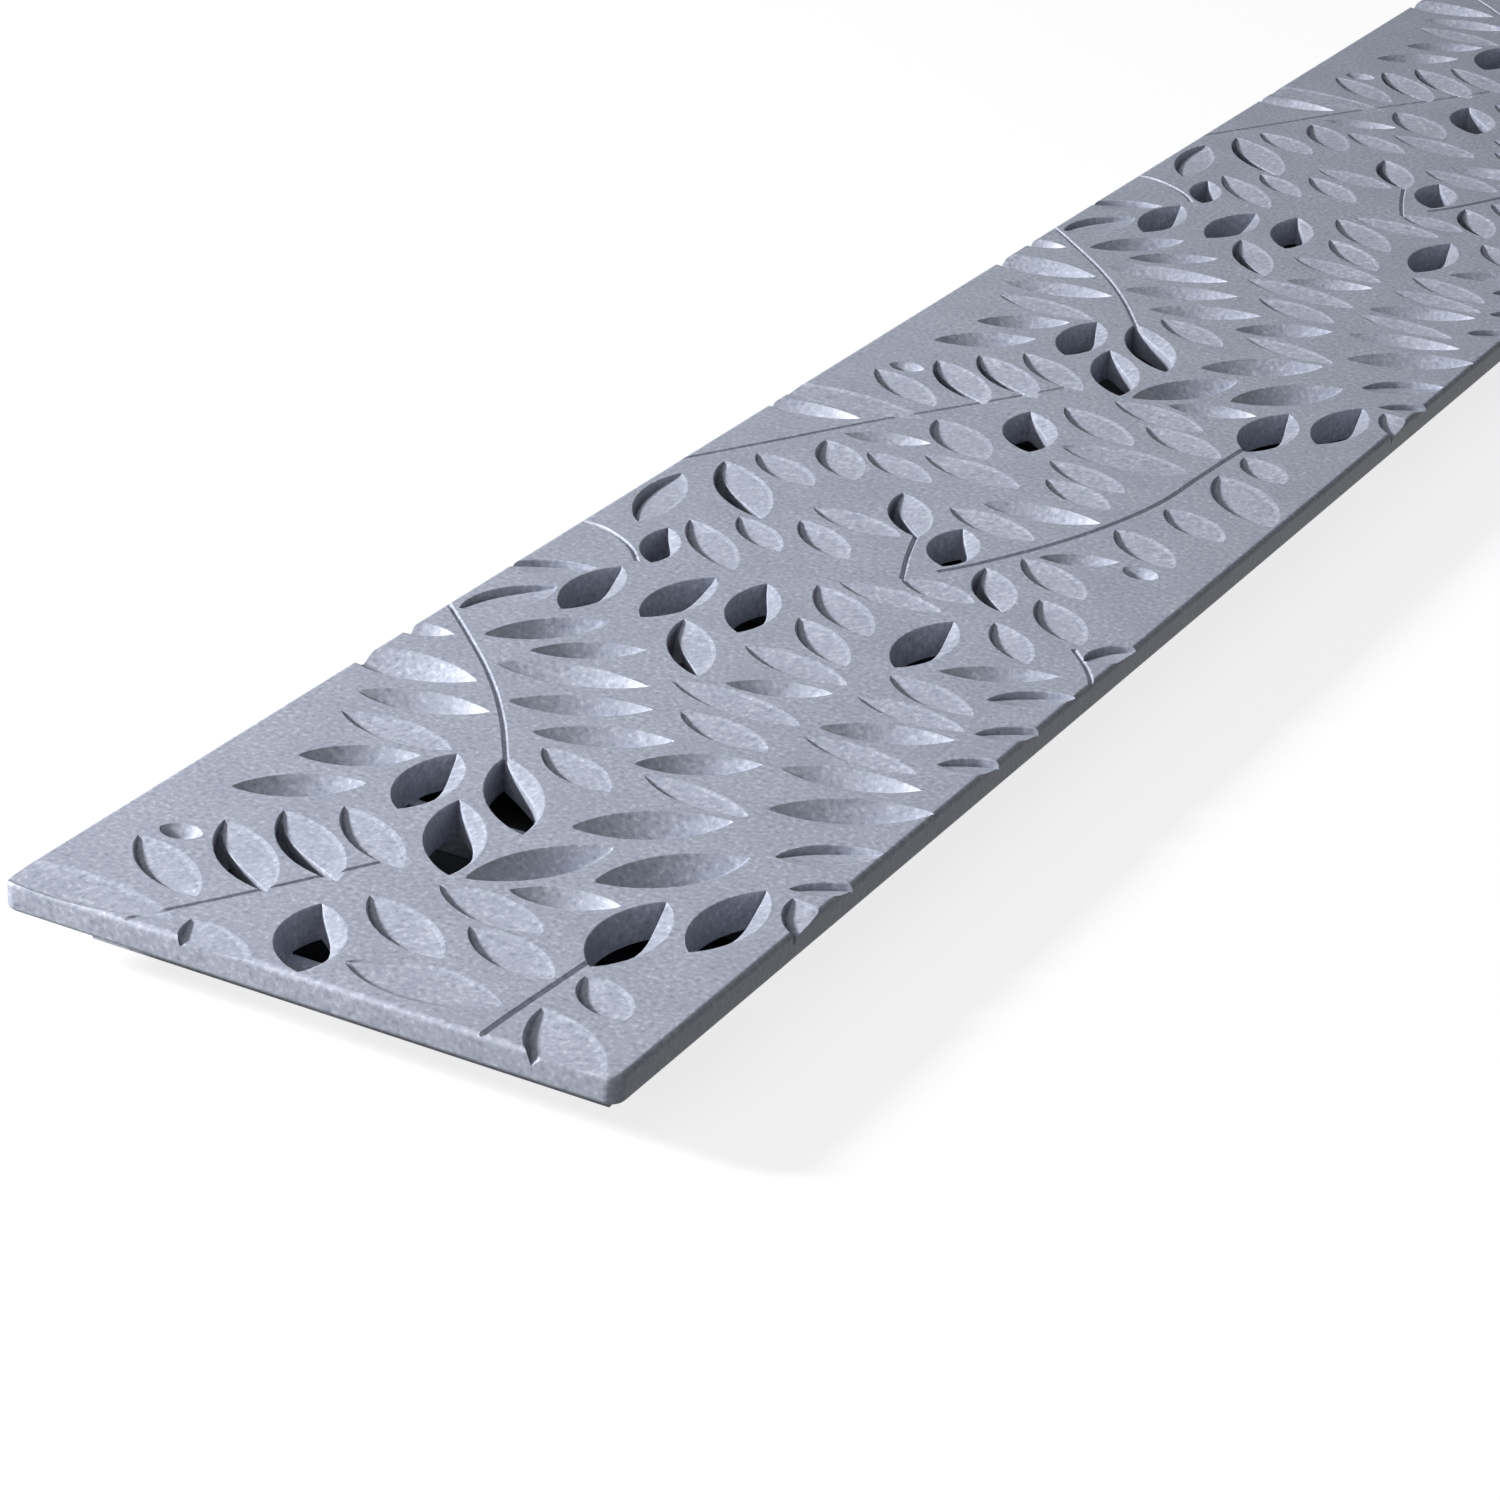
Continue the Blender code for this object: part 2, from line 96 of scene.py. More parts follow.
SCOOP_LEAVES = [
    (63.1, 39.2, 79.7, 44.3, 6.7), (55.8, 38.6, 69.2, 60.1, 9.5),
    (72.2, 48.4, 87.9, 68.7, 10.5), (60.1, 62, 80, 78, 10.2), (12.2, 59.4, 28.2, 70.3, 7.8),
    (10, 44.3, 26.6, 57.3, 8.3), (6.7, 84.6, 28.7, 90.1, 8.2), (81.9, 84.8, 104.4, 98.4, 9.4),
    (57, 86.8, 74.1, 98.2, 8), (37.8, 87.5, 58.5, 97.8, 8), (28.5, 95.2, 49.9, 106, 8),
    (19.1, 106.7, 44.8, 113.2, 8.2), (21.4, 114.1, 37.3, 125.6, 6.9), (11.9, 115.1, 26.6, 132, 8.3),
    (-5.6, 96.7, 20.9, 98.9, 10.6), (-4.5, 109.7, 8, 112.4, 5.2), (54.3, 121.6, 71.1, 128.3, 6.4),
    (81.2, 146.3, 98.9, 156.1, 6.4), (74.7, 115.6, 95.4, 123.9, 7.6),
    (76.7, 98.8, 99.1, 104.4, 7.6), (19, 232.4, 34.7, 237.7, 5.9), (54.9, 217.1, 77.2, 220.9, 8.1),
    (74.4, 200.2, 87.3, 206.5, 5.4), (-4, 238.6, 18.1, 241.1, 6.8),
]
DISH_LEAVES = [
    (-9, 3.8, 28, 4.3, 9.2), (55.3, 7.3, 81, 8.7, 10),
]
BUD_LEAVES = [
    (9.1, 27.2, 16.1, 28.3, 5.3), (88.8, 204.8, 95.9, 203.9, 5.3),
]
# Stems, as the points that each fine groove passes, in the same millimetres.
STEM_PATHS = [
    [(-1.3, 124.3), (9.1, 114.4), (21.6, 101.6), (31.3, 89.5), (40.3, 76.1)],
    [(-1.8, 166.9), (4.4, 166.7), (10.8, 163.7), (14.4, 160.8), (17.5, 157)],
    [(106.9, 152.5), (101.7, 161.2), (96.2, 167.7)],
    [(62.6, 183.8), (66, 189.4), (68.6, 194.7), (74.9, 209.2), (79.8, 225.1), (82.1, 237.2),
     (83, 252.7), (84.2, 270.7)],
    [(52.2, 196.5), (55.2, 187.1), (59, 177.2)],
]
# Stems whose groove is fainter.
FAINT_STEM_PATHS = [
    [(-1.3, 200.1), (10.3, 221.7), (20.7, 241.4), (32.5, 261.3), (44.8, 283.4)],
]

Triple = tuple[float, float, float]
Colour = tuple[float, float, float, float]
Placer = Callable[[float, float], Vector]

WHITE: Colour = (1.0, 1.0, 1.0, 1.0)
# A Mix node has several sockets of each name, so those for colours go by their numbers.
COLOUR_A = 6
COLOUR_B = 7
COLOUR_RESULT = 2
# A bevel's profile for a quarter circle.
ROUND = 0.5


class LeafKind(Enum):
    """The ways in which a leaf is carved into the plate."""

    POCKET = "pocket"
    SLOT = "slot"
    HOLE = "hole"
    SCOOP = "scoop"
    DISH = "dish"
    BUD = "bud"


class ShapeStep(Enum):
    """The ways in which one closed shape acts on another."""

    JOIN = 'UNION'
    CUT = 'DIFFERENCE'


@dataclass(frozen=True)
class LeafForm:
    """The section of one kind of leaf, with lengths in metres.

    Attributes:
        keel_depth: depth of the keel, the ramp's lower end, where it is deepest.
        keel_shift: where the keel runs: 0 on the axis, 1 on the rim of the steep side. A leaf
            that pierces the plate is open from there to the steep side.
        lean: where the keel is deepest: nearer the first tip below 1, nearer the second above 1.
        fullness: shape of the keel from tip to tip, lower for a fuller one.
        ramp_rim: how far the roundings at the ramp's upper end reach.
        steep_rim: how far the rounding of the steep side's rim reaches.
        keel_fillet: how far the rounding along the keel reaches.
        shelf: depth of the ramp's upper end, as a share of its lower end's.
        ring: how far the soft slope above the ramp reaches out past the leaf's outline.
        groove: how much deeper the floor drops in a narrow furrow along the keel.
        pierced: whether the leaf goes through the plate.
        opens_at: the share of the length past which a pierced leaf goes right through.
        swing: how far the keel has moved away from the steep side at the second tip.
        bend: how late it moves there, higher for later.
    """

    keel_depth: float
    keel_shift: float
    lean: float
    fullness: float
    ramp_rim: float
    steep_rim: float = 0.3 * MM
    keel_fillet: float = 0.3 * MM
    shelf: float = 0.0
    ring: float = 0.0
    groove: float = 0.0
    pierced: bool = False
    opens_at: float = 0.0
    swing: float = 0.0
    bend: float = 1.0


LEAF_FORMS = {
    LeafKind.POCKET: LeafForm(1.05 * MM, 0.86, lean=0.75, fullness=0.4, groove=1.4 * MM,
                              shelf=0.25, ring=0.35 * MM, ramp_rim=0.18 * MM),
    LeafKind.SLOT: LeafForm(1.15 * MM, 0.62, lean=0.8, fullness=0.4, swing=0.75, bend=1.3,
                            pierced=True, opens_at=0.08, shelf=0.25, ring=0.35 * MM,
                            ramp_rim=0.18 * MM, keel_fillet=0.2 * MM),
    LeafKind.HOLE: LeafForm(1.0 * MM, -0.18, lean=0.8, fullness=0.5, swing=0.9, bend=1.2,
                            pierced=True, shelf=0.25, ring=0.35 * MM, ramp_rim=0.18 * MM,
                            keel_fillet=0.4 * MM),
    LeafKind.SCOOP: LeafForm(4.0 * MM, 0.05, lean=1.3, fullness=0.72, keel_fillet=0.8 * MM,
                             ramp_rim=0.3 * MM),
    LeafKind.DISH: LeafForm(0.9 * MM, 0.7, lean=0.5, fullness=0.5, keel_fillet=1.0 * MM,
                            shelf=0.4, ring=0.4 * MM, ramp_rim=0.2 * MM),
    LeafKind.BUD: LeafForm(2.3 * MM, 0.12, lean=1.2, fullness=0.7, keel_fillet=0.7 * MM,
                           ramp_rim=0.3 * MM),
}
LEAF_LAYOUT = {
    LeafKind.POCKET: POCKET_LEAVES,
    LeafKind.SLOT: SLOT_LEAVES,
    LeafKind.HOLE: HOLE_LEAVES,
    LeafKind.SCOOP: SCOOP_LEAVES,
    LeafKind.DISH: DISH_LEAVES,
    LeafKind.BUD: BUD_LEAVES,
}


class NodeWeaver:
    """Adds nodes to a node tree and links them, so that a tree reads from top to bottom."""

    def __init__(self, tree: bpy.types.NodeTree) -> None:
        """Takes the tree to add to."""
        self.tree = tree

    def sockets(self, direction: str, kind: str, *names: str) -> None:
        """Adds sockets of one kind to the tree's own inputs or outputs.

        Args:
            direction: INPUT or OUTPUT.
            kind: what the sockets carry, as in Float or Geometry.
            names: a name for each socket.
        """
        for name in names:
            self.tree.interface.new_socket(name, in_out=direction, socket_type=f"NodeSocket{kind}")

    def add(self, kind: str, inputs: dict[str | int, object] | None = None,
            **settings: object) -> bpy.types.Node:
        """Adds one node.

        Args:
            kind: the node's type name.
            inputs: a value or an output socket for each input, by name or number.
            settings: the node's own properties.

        Returns:
            The new node.
        """
        node = self.tree.nodes.new(kind)
        for name, value in settings.items():
            setattr(node, name, value)
        for key, value in (inputs or {}).items():
            if isinstance(value, bpy.types.NodeSocket):
                self.tree.links.new(value, node.inputs[key])
            else:
                node.inputs[key].default_value = value
        return node

    def math(self, operation: str, first: object, second: object = 0.0,
             third: object = 0.0) -> bpy.types.NodeSocket:
        """Adds a Math node and returns its output."""
        values = {0: first, 1: second, 2: third}
        return self.add("ShaderNodeMath", values, operation=operation).outputs[0]

    def mask(self, value: bpy.types.NodeSocket, start: float, end: float,
             most: float = 1.0) -> bpy.types.NodeSocket:
        """Adds a Map Range node.

        Args:
            value: the value to turn into a mask.
            start: the value where the mask begins to rise from 0.
            end: the value from which it is full.
            most: the mask when it is full.

        Returns:
            The mask.
        """
        return self.add("ShaderNodeMapRange", {
            "Value": value, "From Min": start, "From Max": end, "To Max": most}).outputs[0]

    def mix(self, factor: object, first: object, second: object) -> bpy.types.NodeSocket:
        """Adds a Mix node for two colours and returns its output."""
        colours = {"Factor": factor, COLOUR_A: first, COLOUR_B: second}
        return self.add("ShaderNodeMix", colours, data_type='RGBA').outputs[COLOUR_RESULT]


class ShapeWeaver(NodeWeaver):
    """Adds the steps that repeat, join and cut closed shapes."""

    def repeated(self, shape: bpy.types.NodeSocket, count: bpy.types.NodeSocket,
                 pitch: bpy.types.NodeSocket, first: float) -> bpy.types.NodeSocket:
        """Repeats a shape along the grate.

        Args:
            shape: the shape.
            count: how many copies there are.
            pitch: the distance from one copy to the next.
            first: how many pitches the first copy is moved.

        Returns:
            All copies as one mesh.
        """
        step = self.add("ShaderNodeCombineXYZ", {"Y": pitch}).outputs[0]
        begin = self.add("ShaderNodeVectorMath", {0: step, "Scale": first}, operation='SCALE')
        line = self.add("GeometryNodeMeshLine", {
            "Count": count, "Start Location": begin.outputs[0], "Offset": step}, mode='OFFSET')
        copies = self.add("GeometryNodeInstanceOnPoints", {
            "Points": line.outputs[0], "Instance": shape})
        return self.add("GeometryNodeRealizeInstances", {0: copies.outputs[0]}).outputs[0]

    def combined(self, step: ShapeStep, base: bpy.types.NodeSocket,
                 tool: bpy.types.NodeSocket) -> bpy.types.NodeSocket:
        """Joins two closed shapes, or cuts one from the other.

        Args:
            step: whether to join or to cut.
            base: the shape that stays.
            tool: the shape that is joined to it or cut from it.

        Returns:
            The result.
        """
        node = self.add("GeometryNodeMeshBoolean", operation=step.value, solver='MANIFOLD')
        base_input = "Mesh 1" if step is ShapeStep.CUT else "Mesh 2"
        self.tree.links.new(base, node.inputs[base_input])
        self.tree.links.new(tool, node.inputs["Mesh 2"])
        return node.outputs["Mesh"]


def modifier_inputs(modifier: bpy.types.NodesModifier, values: dict[str, object]) -> None:
    """Sets a Geometry Nodes modifier's inputs.

    Args:
        modifier: the modifier, with its tree already in place.
        values: a value for each input, by the name that the tree gives it.
    """
    sockets = {item.name: item.identifier for item in modifier.node_group.interface.items_tree
               if item.item_type == 'SOCKET' and item.in_out == 'INPUT'}
    for name, value in values.items():
        modifier[sockets[name]] = value


def plain_mesh(item: bpy.types.Object, name: str) -> bpy.types.Mesh:
    """Evaluates an object with its modifiers.

    Args:
        item: the object.
        name: the name for the new mesh.

    Returns:
        The result as a mesh that depends on nothing else.
    """
    bpy.context.view_layer.update()
    graph = bpy.context.evaluated_depsgraph_get()
    mesh = bpy.data.meshes.new_from_object(
        item.evaluated_get(graph), preserve_all_data_layers=True, depsgraph=graph)
    mesh.name = name
    return mesh


def linked_object(name: str, data: bpy.types.ID | None) -> bpy.types.Object:
    """Makes an object of some data and links it to the scene.

    Args:
        name: the object's name.
        data: its mesh, curve, lamp or camera.

    Returns:
        The new object.
    """
    item = bpy.data.objects.new(name, data)
    bpy.context.scene.collection.objects.link(item)
    return item


def object_from_bmesh(name: str, bm: bmesh.types.BMesh) -> bpy.types.Object:
    """Turns a bmesh into an object whose faces point outwards.

    Args:
        name: the name for the object and its mesh.
        bm: the bmesh, which is freed.

    Returns:
        The new object.
    """
    bmesh.ops.recalc_face_normals(bm, faces=bm.faces[:])
    mesh = bpy.data.meshes.new(name)
    bm.to_mesh(mesh)
    bm.free()
    return linked_object(name, mesh)


def fillet(before: Vector, corner: Vector, after: Vector, reach: float, steps: int) -> list[Vector]:
    """Rounds one corner of a polyline.

    Args:
        before: the polyline's point before the corner.
        corner: the corner's own point.
        after: the point after it.
        reach: how far from the corner the rounding starts on each side, at most.
        steps: the number of segments round the corner.

    Returns:
        The points of the rounding, from the side of before to the side of after.
    """
    longest_share = 0.45
    to_before = before - corner
    to_after = after - corner
    reach = min(reach, longest_share * to_before.length, longest_share * to_after.length)
    first = corner + to_before.normalized() * reach
    last = corner + to_after.normalized() * reach
    points = []
    for step in range(steps + 1):
        share = step / steps
        rest = 1 - share
        points.append(first * rest ** 2 + corner * 2 * share * rest + last * share ** 2)
    return points


@dataclass
class LeafCarver:
    """Builds the tool shapes that carve the leaves of one pattern length.

    Attributes:
        surface: height of the plate's top face.
        underside: height at which the tool of a pierced leaf ends, inside the bays.
        stations: steps from tip to tip.
        crowding: how much the stations crowd towards the tips, from 0 to 1.
        rim_steps: segments round a rim.
        keel_steps: segments round the keel.
        wall_draft: where the steep wall's foot is, as a share of the half width.
        undercut: how far the opening goes in under the ramp, as a share of the half width.
        least_shift: where the keel stops on its way to the ramp's rim.
        least_foot: where the opening stops under the ramp.
        full_rim_width: the half width from which rims are rounded in full.
        furrow_lean: where the furrow is deepest, like a form's lean.
        furrow_width: width of the furrow on the ramp's side, as a share of the half width.
        shelf_at: how far up the ramp its upper end is, as a share of the way to the rim.
        opening_run: share of the length over which a leaf with an opens_at breaks through.
        closed_floor: how far its floor lies below the keel before that.
        rise: how far the tool stands up out of the plate.
        lift: how far the tool is raised, which keeps its faces off the plate's.
    """

    surface: float
    underside: float
    stations: int = 14
    crowding: float = 0.55
    rim_steps: int = 3
    keel_steps: int = 3
    wall_draft: float = 0.96
    undercut: float = 0.35
    least_shift: float = -0.85
    least_foot: float = -0.9
    full_rim_width: float = 1.2 * MM
    furrow_lean: float = 1.3
    furrow_width: float = 0.2
    shelf_at: float = 0.93
    opening_run: float = 0.12
    closed_floor: float = 0.3 * MM
    rise: float = 1.0 * MM
    lift: float = 0.008 * MM

    def depth_at(self, share: float, form: LeafForm) -> float:
        """Depth of the keel at a share of the leaf's length."""
        return form.keel_depth * math.sin(math.pi * share ** form.lean) ** form.fullness

    def foot_at(self, share: float, form: LeafForm) -> float:
        """Finds where the tool of a pierced leaf ends.

        Args:
            share: the share of the leaf's length.
            form: the kind's sizes.

        Returns:
            The foot's height above the surface, which is negative.
        """
        through = self.underside - self.surface
        if not form.opens_at:
            return through
        sink = min(1.0, max(0.0, (share - form.opens_at) / self.opening_run))
        floor = self.depth_at(share, form) + self.closed_floor
        return through * sink - floor * (1 - sink)

    def section(self, half: float, share: float, form: LeafForm) -> list[Vector]:
        """Draws one cross-section, from the steep side to the ramp side.

        Args:
            half: the leaf's half width there.
            share: the share of the leaf's length before it.
            form: the kind's sizes.

        Returns:
            Points (across, height), with rounded rims and a rounded keel.
        """
        depth = self.depth_at(share, form)
        shift = max(self.least_shift, form.keel_shift - form.swing * share ** form.bend)
        rim_share = min(1.0, half / self.full_rim_width)
        steep_reach = form.steep_rim * rim_share
        ramp_reach = form.ramp_rim * rim_share
        furrow = form.groove * math.sin(math.pi * share ** self.furrow_lean)
        outside = Vector((half, 0.0))
        steep = Vector((half, 0.0))
        keel = Vector((half * shift, -depth - furrow))
        crest = Vector((half * (shift - self.furrow_width), -depth))
        shelf_shift = (1 - self.shelf_at) * shift - self.shelf_at
        shelf = Vector((half * shelf_shift, -depth * form.shelf))
        ramp = Vector((-half - form.ring * rim_share, 0.0))
        if form.pierced:
            foot = self.foot_at(share, form)
            steep_foot = Vector((half * self.wall_draft, foot))
            keel_foot = Vector((half * max(self.least_foot, shift - self.undercut), foot))
            points = fillet(steep + outside, steep, steep_foot, steep_reach, self.rim_steps)
            points += [steep_foot, keel_foot]
            points += fillet(keel_foot, keel, shelf, form.keel_fillet, self.keel_steps)
        else:
            points = fillet(steep + outside, steep, keel, steep_reach, self.rim_steps)
            if form.groove:
                points += fillet(steep, keel, crest, form.keel_fillet, self.keel_steps)
                points += fillet(keel, crest, shelf, form.keel_fillet, self.keel_steps)
            else:
                points += fillet(steep, keel, shelf, form.keel_fillet, self.keel_steps)
        points += fillet(keel, shelf, ramp, ramp_reach, self.rim_steps)
        points += fillet(shelf, ramp, ramp - outside, ramp_reach, self.rim_steps)
        return [Vector((points[0].x, self.rise)), *points, Vector((points[-1].x, self.rise))]

    def tip_heights(self, form: LeafForm) -> list[float]:
        """Lists the height at which each point of a section runs out at the leaf's tips.

        Args:
            form: the kind's sizes.

        Returns:
            One height above the surface for each point that section gives.
        """
        rim = [0.0] * (self.rim_steps + 1)
        keel = [0.0] * (self.keel_steps + 1)
        if form.pierced:
            foot = 0.0 if form.opens_at else self.underside - self.surface
            floor = [foot, foot, *keel]
        elif form.groove:
            floor = keel + keel
        else:
            floor = keel
        return [self.rise, *rim, *floor, *rim, *rim, self.rise]

    def add_leaf(self, bm: bmesh.types.BMesh, leaf: Sequence[float], form: LeafForm,
                 place: Placer) -> None:
        """Adds one leaf's tool shape: a pointed oval with its carved section.

        Args:
            bm: the bmesh to add to.
            leaf: the two tips and the width, in pattern millimetres.
            form: the kind's sizes.
            place: turns pattern millimetres into a point of the plate.
        """
        start = place(leaf[0], leaf[1])
        end = place(leaf[2], leaf[3])
        along = (end - start).normalized()
        across = Vector((along.y, -along.x))
        half_length = (end - start).length / 2
        half_width = leaf[4] * MM / 2
        half_angle = 2 * math.atan2(half_width, half_length)
        radius = half_length / math.sin(half_angle)
        middle = (start + end) / 2
        level = self.surface + self.lift

        def vertex(along_by: float, across_by: float, height: float) -> bmesh.types.BMVert:
            """Adds a vertex by its place along and across the leaf."""
            point = middle + along * along_by + across * across_by
            return bm.verts.new((point.x, point.y, height))

        rows = []
        for step in range(1, self.stations):
            crowded = -math.cos(math.pi * step / self.stations)
            even = 2 * step / self.stations - 1
            angle = half_angle * (self.crowding * crowded + (1 - self.crowding) * even)
            reach = radius * math.sin(angle)
            half = radius * (math.cos(angle) - math.cos(half_angle))
            share = (reach + half_length) / (2 * half_length)
            points = self.section(half, share, form)
            rows.append([vertex(reach, point.x, level + point.y) for point in points])
        heights = self.tip_heights(form)
        for sign, row in ((-1, rows[0]), (1, rows[-1])):
            tips = {height: vertex(sign * half_length, 0.0, level + height)
                    for height in sorted(set(heights))}
            for index, height in enumerate(heights):
                follower = (index + 1) % len(row)
                corners = [tips[height], row[index], row[follower]]
                if heights[follower] != height:
                    corners.append(tips[heights[follower]])
                bm.faces.new(corners)
        for row, next_row in zip(rows, rows[1:]):
            for index in range(len(row)):
                follower = (index + 1) % len(row)
                bm.faces.new((row[index], next_row[index], next_row[follower], row[follower]))

    def build(self, place: Placer) -> bpy.types.Object:
        """Builds the tool for every leaf of one pattern length.

        Args:
            place: turns pattern millimetres into a point of the plate.

        Returns:
            The tool as one object.
        """
        bm = bmesh.new()
        for kind, leaves in LEAF_LAYOUT.items():
            for leaf in leaves:
                self.add_leaf(bm, leaf, LEAF_FORMS[kind], place)
        return object_from_bmesh("leaf_tool", bm)


@dataclass
class CarvedGrate:
    """The whole moulded grate: plate, drop-in skirt and ribs, carved leaves and stems.

    Attributes:
        length: overall length.
        width: overall width.
        thickness: thickness of the lip and of the plate's edge.
        corner_radius: radius of the plate's four corners, seen from above.
        edge_radius: radius along the plate's top edge.
        foot_radius: radius along the plate's lower edge.
        corner_steps: segments round a corner.
        edge_steps: segments round the top edge.
        foot_steps: segments round the lower edge.
        skirt_depth: how far the skirt and the ribs stand down below the lip.
        skirt_thickness: thickness of the skirt.
        lip_overhang: how far the lip reaches out past the skirt at the sides.
        end_overhang: how far it reaches out at the ends.
        rib_thickness: thickness of a cross rib.
        rib_pitch: the distance aimed at from one rib to the next.
        rib_draft: the angle at which the skirt's and the ribs' faces lean.
        fuse_depth: how far shapes that join reach into each other.
        bay_overshoot: how far the bay tool stands out below the skirt.
        body_thickness: thickness of the plate inside the skirt.
        pattern_pitch: the length after which the leaf pattern repeats.
        copies_before: copies of the pattern that start before the near end.
        copies_after: copies past those that the length needs.
        groove_radius: radius of a stem's round groove.
        groove_sides: sides of the groove's tool.
        groove_rise: how far above the top face the groove's centre line runs.
        faint_rise: the same for a fainter stem.
        stem_steps: segments from one point of a stem to the next.
        grid_size: size of the cells into which the plate's faces are cut.
        smooth_angle: the angle between faces up to which they are shaded smooth.
        area_weight: how much large faces pull the shading of the small ones beside them.
    """

    length: float = 609.6 * MM
    width: float = 104.775 * MM
    thickness: float = 4.8 * MM
    corner_radius: float = 2.5 * MM
    edge_radius: float = 1.0 * MM
    foot_radius: float = 0.8 * MM
    corner_steps: int = 8
    edge_steps: int = 5
    foot_steps: int = 3
    skirt_depth: float = 7.9 * MM
    skirt_thickness: float = 2.6 * MM
    lip_overhang: float = 8.0 * MM
    end_overhang: float = 12.0 * MM
    rib_thickness: float = 2.2 * MM
    rib_pitch: float = 50.8 * MM
    rib_draft: float = math.radians(1.5)
    fuse_depth: float = 0.3 * MM
    bay_overshoot: float = 1.0 * MM
    body_thickness: float = 6.0 * MM
    pattern_pitch: float = 243.84 * MM
    copies_before: int = 1
    copies_after: int = 1
    groove_radius: float = 0.60 * MM
    groove_sides: int = 10
    groove_rise: float = 0.15 * MM
    faint_rise: float = 0.28 * MM
    stem_steps: int = 8
    grid_size: float = 9.0 * MM
    smooth_angle: float = math.radians(38)
    area_weight: int = 100

    @property
    def top(self) -> float:
        """Height of the plate's top face."""
        return self.skirt_depth + self.thickness

    @property
    def bay_top(self) -> float:
        """Height of the plate's underside in the bays between the ribs."""
        return self.top - self.body_thickness

    @property
    def frame_width(self) -> float:
        """Width over the skirt, at its upper end."""
        return self.width - 2 * self.lip_overhang

    @property
    def frame_length(self) -> float:
        """Length over the skirt, at its upper end."""
        return self.length - 2 * self.end_overhang

    @property
    def narrowing(self) -> float:
        """How far a leaning face moves over the skirt's depth."""
        return self.skirt_depth * math.tan(self.rib_draft)

    def place(self, x_mm: float, y_mm: float) -> Vector:
        """Turns pattern millimetres into a point of the plate."""
        return Vector((x_mm * MM - self.width / 2, y_mm * MM - self.length / 2))

    def deck(self) -> bpy.types.Object:
        """Builds the plain plate, with its corners and edges rounded and its faces cut into cells.

        Returns:
            The plate.
        """
        same_level = 0.001 * MM
        middle = self.top - self.thickness / 2
        bm = bmesh.new()
        bmesh.ops.create_cube(bm, size=1.0)
        bmesh.ops.scale(bm, vec=(self.width, self.length, self.thickness), verts=bm.verts)
        bmesh.ops.translate(bm, vec=(0, 0, middle), verts=bm.verts)
        uprights = [edge for edge in bm.edges if edge.verts[0].co.xy == edge.verts[1].co.xy]
        bmesh.ops.bevel(bm, geom=uprights, offset=self.corner_radius, segments=self.corner_steps,
                        profile=ROUND, affect='EDGES')
        for height, radius, steps in ((self.top, self.edge_radius, self.edge_steps),
                                      (self.skirt_depth, self.foot_radius, self.foot_steps)):
            ring = [edge for edge in bm.edges
                    if all(abs(vert.co.z - height) < same_level for vert in edge.verts)]
            bmesh.ops.bevel(bm, geom=ring, offset=radius, segments=steps, profile=ROUND,
                            affect='EDGES')
        for axis, extent in ((0, self.width), (1, self.length)):
            cells = round(extent / self.grid_size)
            normal = Vector((1 - axis, axis, 0))
            for cell in range(1, cells):
                bmesh.ops.bisect_plane(bm, geom=bm.verts[:] + bm.edges[:] + bm.faces[:],
                                       plane_co=normal * extent * (cell / cells - 0.5),
                                       plane_no=normal)
        return object_from_bmesh("grate_plate", bm)

    def drafted_box(self, name: str, size: Sequence[float], centre: Sequence[float],
                    flare: float) -> bpy.types.Object:
        """Builds a box whose lower end is wider or narrower than its upper end.

        Args:
            name: the object's name.
            size: width, length and height, measured at the upper end.
            centre: its middle.
            flare: how much each side moves outwards at the lower end.

        Returns:
            The box.
        """
        bm = bmesh.new()
        bmesh.ops.create_cube(bm, size=1.0)
        bmesh.ops.scale(bm, vec=size, verts=bm.verts)
        for vert in bm.verts:
            if vert.co.z < 0:
                vert.co.x += math.copysign(flare, vert.co.x)
                vert.co.y += math.copysign(flare, vert.co.y)
        bmesh.ops.translate(bm, vec=centre, verts=bm.verts)
        return object_from_bmesh(name, bm)

    def skirt_block(self) -> bpy.types.Object:
        """Builds the block that the skirt and the ribs are left of, reaching into the plate."""
        height = self.skirt_depth + self.fuse_depth
        return self.drafted_box("skirt_block", (self.frame_width, self.frame_length, height),
                                (0.0, 0.0, height / 2), -self.narrowing)

    def bay_spacing(self) -> tuple[int, float]:
        """Fits bays of about one rib pitch between the skirt's ends.

        Returns:
            The number of bays, and the distance from one to the next.
        """
        clear = self.frame_length - 2 * self.skirt_thickness + self.rib_thickness
        bays = max(1, round(clear / self.rib_pitch))
        return bays, clear / bays

    def bay_tool(self, bay_pitch: float) -> bpy.types.Object:
        """Builds the tool that hollows the bay nearest the near end.

        Args:
            bay_pitch: the distance from one bay to the next.

        Returns:
            The tool, in its place.
        """
        width = self.frame_width - 2 * self.skirt_thickness
        length = bay_pitch - self.rib_thickness
        height = self.bay_top + self.bay_overshoot
        first = -self.frame_length / 2 + self.skirt_thickness + length / 2
        return self.drafted_box("bay_tool", (width, length, height),
                                (0.0, first, self.bay_top - height / 2), self.narrowing / 2)

    def stem_path(self) -> bpy.types.Object:
        """Draws the stems of one pattern length as smooth curves just above the top face.

        Returns:
            The stems as one curve object.
        """
        curve = bpy.data.curves.new("stem_path", 'CURVE')
        curve.dimensions = '3D'
        for paths, rise in ((STEM_PATHS, self.groove_rise), (FAINT_STEM_PATHS, self.faint_rise)):
            for points in paths:
                spline = curve.splines.new('BEZIER')
                spline.bezier_points.add(len(points) - 1)
                for bezier, point in zip(spline.bezier_points, points):
                    bezier.co = (*self.place(*point), self.top + rise)
                    bezier.handle_left_type = 'AUTO'
                    bezier.handle_right_type = 'AUTO'
        return linked_object("stem_path", curve)

